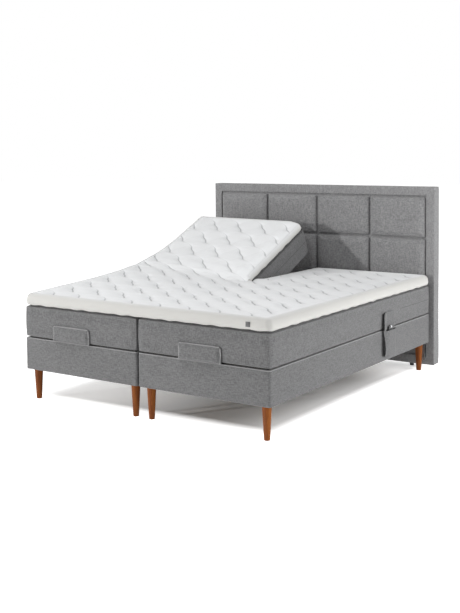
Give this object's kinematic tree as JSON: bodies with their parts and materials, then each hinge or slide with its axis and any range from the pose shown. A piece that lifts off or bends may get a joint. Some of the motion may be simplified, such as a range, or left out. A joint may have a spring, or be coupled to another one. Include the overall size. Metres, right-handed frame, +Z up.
{
  "type": "adjustable bed",
  "caption": "Twin adjustable bed of upholstered bases and mattresses on tapered legs, with lifting back and leg sections, a shared topper and a tiled padded headboard.",
  "frame": {"origin": "on the floor under the middle of the whole bed, headboard included", "axes": "+X to the right seen from the foot end, +Y towards the head end, +Z up"},
  "size_m": [1.852, 2.2314, 1.276],
  "materials": {
    "base_fabric": "matte",
    "mattress_fabric": "matte",
    "topper_fabric": "matte",
    "headboard_fabric": "matte",
    "timber": "matte",
    "leg_wood": "satin",
    "plywood": "matte",
    "dark_steel": "satin",
    "zinc_steel": "satin",
    "drive_plastic": "matte",
    "motor_metal": "satin",
    "black_plastic": "satin",
    "grey_plastic": "matte"
  },
  "bodies": {
    "base": {"base_covers": "base_fabric", "base_boards": "timber", "corner_blocks": "timber", "legs": "leg_wood", "leg_bolts": "zinc_steel", "unit_clamps": "zinc_steel", "steel_rails": "dark_steel", "rail_plates": "dark_steel", "cross_tubes": "dark_steel", "hinge_pins": "zinc_steel", "drive_housings": "drive_plastic", "drive_motors": "motor_metal", "seat_decks": "plywood", "mattress_seats": "mattress_fabric", "mattress_bends": "mattress_fabric", "topper_seat": "topper_fabric", "topper_bends": "topper_fabric", "handset_pocket": "base_fabric", "headboard_panel": "headboard_fabric", "headboard_tiles": "headboard_fabric", "headboard_bars": "zinc_steel", "headboard_glides": "black_plastic"},
    "left_back": {"left_back_deck": "plywood", "left_back_angles": "dark_steel", "left_mattress_back": "mattress_fabric", "left_topper_back": "topper_fabric", "left_side_retainer": "mattress_fabric"},
    "left_thigh": {"left_thigh_deck": "plywood", "left_thigh_angles": "dark_steel", "left_knee_pins": "zinc_steel", "left_mattress_thigh": "mattress_fabric", "topper_thigh": "topper_fabric"},
    "left_calf": {"left_calf_deck": "plywood", "left_calf_angles": "dark_steel", "left_mattress_calf": "mattress_fabric", "left_foot_retainer": "mattress_fabric", "topper_calf": "topper_fabric"},
    "left_back_lift": {"left_back_shaft": "dark_steel"},
    "left_leg_lift": {"left_leg_shaft": "dark_steel"},
    "left_links": {"left_calf_links": "dark_steel"},
    "right_back": {"right_back_deck": "plywood", "right_back_angles": "dark_steel", "right_mattress_back": "mattress_fabric", "right_topper_back": "topper_fabric", "right_side_retainer": "mattress_fabric"},
    "right_thigh": {"right_thigh_deck": "plywood", "right_thigh_angles": "dark_steel", "right_knee_pins": "zinc_steel", "right_mattress_thigh": "mattress_fabric"},
    "right_calf": {"right_calf_deck": "plywood", "right_calf_angles": "dark_steel", "right_mattress_calf": "mattress_fabric", "right_foot_retainer": "mattress_fabric"},
    "right_back_lift": {"right_back_shaft": "dark_steel"},
    "right_leg_lift": {"right_leg_shaft": "dark_steel"},
    "right_links": {"right_calf_links": "dark_steel"},
    "handset": {"handset": "black_plastic"},
    "raise_key": {"raise_key": "grey_plastic"},
    "lower_key": {"lower_key": "grey_plastic"}
  },
  "joints": [
    {"name": "left_back_tilt", "type": "hinge", "parent": "base", "child": "left_back", "pos_m": [-0.452, 0.04665, 0.36], "axis": [1, 0, 0], "range_deg": [-24, 36], "deforming": ["mattress_bends", "topper_bends"]},
    {"name": "left_back_shaft_turn", "type": "hinge", "parent": "base", "child": "left_back_lift", "pos_m": [-0.452, 0.28665, 0.315], "axis": [1, 0, 0], "range_deg": [-48, 72]},
    {"name": "left_thigh_tilt", "type": "hinge", "parent": "base", "child": "left_thigh", "pos_m": [-0.452, -0.28335, 0.36], "axis": [-1, 0, 0], "range_deg": [0, 30], "deforming": ["mattress_bends", "topper_bends"]},
    {"name": "left_calf_tilt", "type": "hinge", "parent": "left_thigh", "child": "left_calf", "pos_m": [-0.452, -0.64335, 0.36], "axis": [-1, 0, 0], "range_deg": [-30, 0]},
    {"name": "left_leg_shaft_turn", "type": "hinge", "parent": "base", "child": "left_leg_lift", "pos_m": [-0.452, -0.40335, 0.315], "axis": [-1, 0, 0], "range_deg": [0, 60]},
    {"name": "left_link_swing", "type": "hinge", "parent": "base", "child": "left_links", "pos_m": [-0.452, -0.48335, 0.34], "axis": [-1, 0, 0], "range_deg": [0, 30]},
    {"name": "right_back_tilt", "type": "hinge", "parent": "base", "child": "right_back", "pos_m": [0.452, 0.04665, 0.36], "axis": [1, 0, 0], "range_deg": [0, 60], "deforming": ["mattress_bends", "topper_bends"]},
    {"name": "right_back_shaft_turn", "type": "hinge", "parent": "base", "child": "right_back_lift", "pos_m": [0.452, 0.28665, 0.315], "axis": [1, 0, 0], "range_deg": [0, 120]},
    {"name": "right_thigh_tilt", "type": "hinge", "parent": "base", "child": "right_thigh", "pos_m": [0.452, -0.28335, 0.36], "axis": [-1, 0, 0], "range_deg": [0, 30]},
    {"name": "right_calf_tilt", "type": "hinge", "parent": "right_thigh", "child": "right_calf", "pos_m": [0.452, -0.64335, 0.36], "axis": [-1, 0, 0], "range_deg": [-30, 0]},
    {"name": "right_leg_shaft_turn", "type": "hinge", "parent": "base", "child": "right_leg_lift", "pos_m": [0.452, -0.40335, 0.315], "axis": [-1, 0, 0], "range_deg": [0, 60]},
    {"name": "right_link_swing", "type": "hinge", "parent": "base", "child": "right_links", "pos_m": [0.452, -0.48335, 0.34], "axis": [-1, 0, 0], "range_deg": [0, 30]},
    {"name": "handset_lift", "type": "slide", "parent": "base", "child": "handset", "axis": [0, 0, 1], "range_m": [0, 0.19]},
    {"name": "raise_key_press", "type": "slide", "parent": "handset", "child": "raise_key", "axis": [-1, 0, 0], "range_m": [0, 0.0008], "stiffness_N_per_m": 600, "springref_m": -0.0005},
    {"name": "lower_key_press", "type": "slide", "parent": "handset", "child": "lower_key", "axis": [-1, 0, 0], "range_m": [0, 0.0008], "stiffness_N_per_m": 600, "springref_m": -0.0005}
  ],
  "couplings": [
    {"joint": "left_back_shaft_turn", "follows": "left_back_tilt", "ratio": 2},
    {"joint": "left_calf_tilt", "follows": "left_thigh_tilt", "ratio": -1},
    {"joint": "left_leg_shaft_turn", "follows": "left_thigh_tilt", "ratio": 2},
    {"joint": "left_link_swing", "follows": "left_thigh_tilt", "ratio": 1},
    {"joint": "right_back_shaft_turn", "follows": "right_back_tilt", "ratio": 2},
    {"joint": "right_thigh_tilt", "follows": "left_thigh_tilt", "ratio": 1},
    {"joint": "right_calf_tilt", "follows": "left_thigh_tilt", "ratio": -1},
    {"joint": "right_leg_shaft_turn", "follows": "left_thigh_tilt", "ratio": 2},
    {"joint": "right_link_swing", "follows": "left_thigh_tilt", "ratio": 1}
  ]
}
